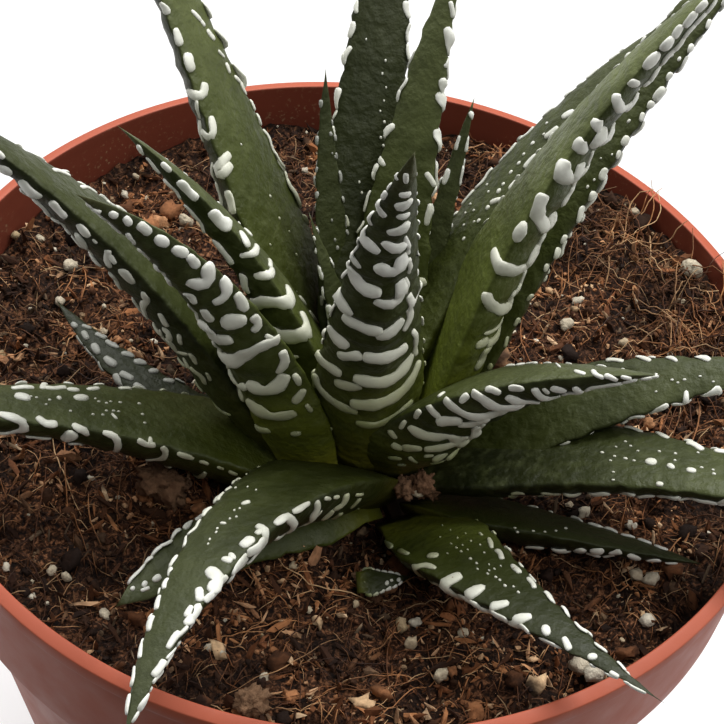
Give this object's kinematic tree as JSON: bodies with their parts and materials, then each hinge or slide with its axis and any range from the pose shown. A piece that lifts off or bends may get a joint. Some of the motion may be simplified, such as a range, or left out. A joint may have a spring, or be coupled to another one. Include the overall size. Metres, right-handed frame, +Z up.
{
  "type": "potted haworthia",
  "caption": "Rosette of thick, keeled, pointed leaves with raised white bands, growing in a round plastic nursery pot of coir potting mix.",
  "frame": {"origin": "middle of the pot's flat underside", "axes": "+Z up along the pot's axis, -Y towards the picture's camera, +X to the camera's right"},
  "size_m": [0.1406, 0.128, 0.1767],
  "materials": {
    "pot_plastic": "satin moulded terracotta-coloured plastic",
    "potting_mix": "loose brown coir, bark crumbs and perlite",
    "leaf": "satin dark green leaf skin with raised white tubercles",
    "stem": "pale green to brown stem"
  },
  "bodies": {
    "root": {"pot": "pot_plastic", "soil": "potting_mix", "stem": "stem", "offset_leaf_tip": "leaf", "leaf_right_front": "leaf", "leaf_left_front": "leaf", "leaf_centre": "leaf", "leaf_right_tall": "leaf", "leaf_left_inner": "leaf", "leaf_front_over_rim": "leaf", "leaf_back_upright": "leaf", "leaf_back_left": "leaf", "leaf_right_behind": "leaf", "leaf_left_long": "leaf", "leaf_back_right": "leaf", "leaf_back": "leaf", "leaf_young_left": "leaf", "leaf_young_right": "leaf", "leaf_young_small": "leaf", "leaf_right_low": "leaf", "leaf_right_mid": "leaf", "leaf_left_low": "leaf", "leaf_front_right": "leaf", "leaf_right_short": "leaf", "leaf_front_short": "leaf", "leaf_left_short": "leaf"}
  },
  "joints": []
}
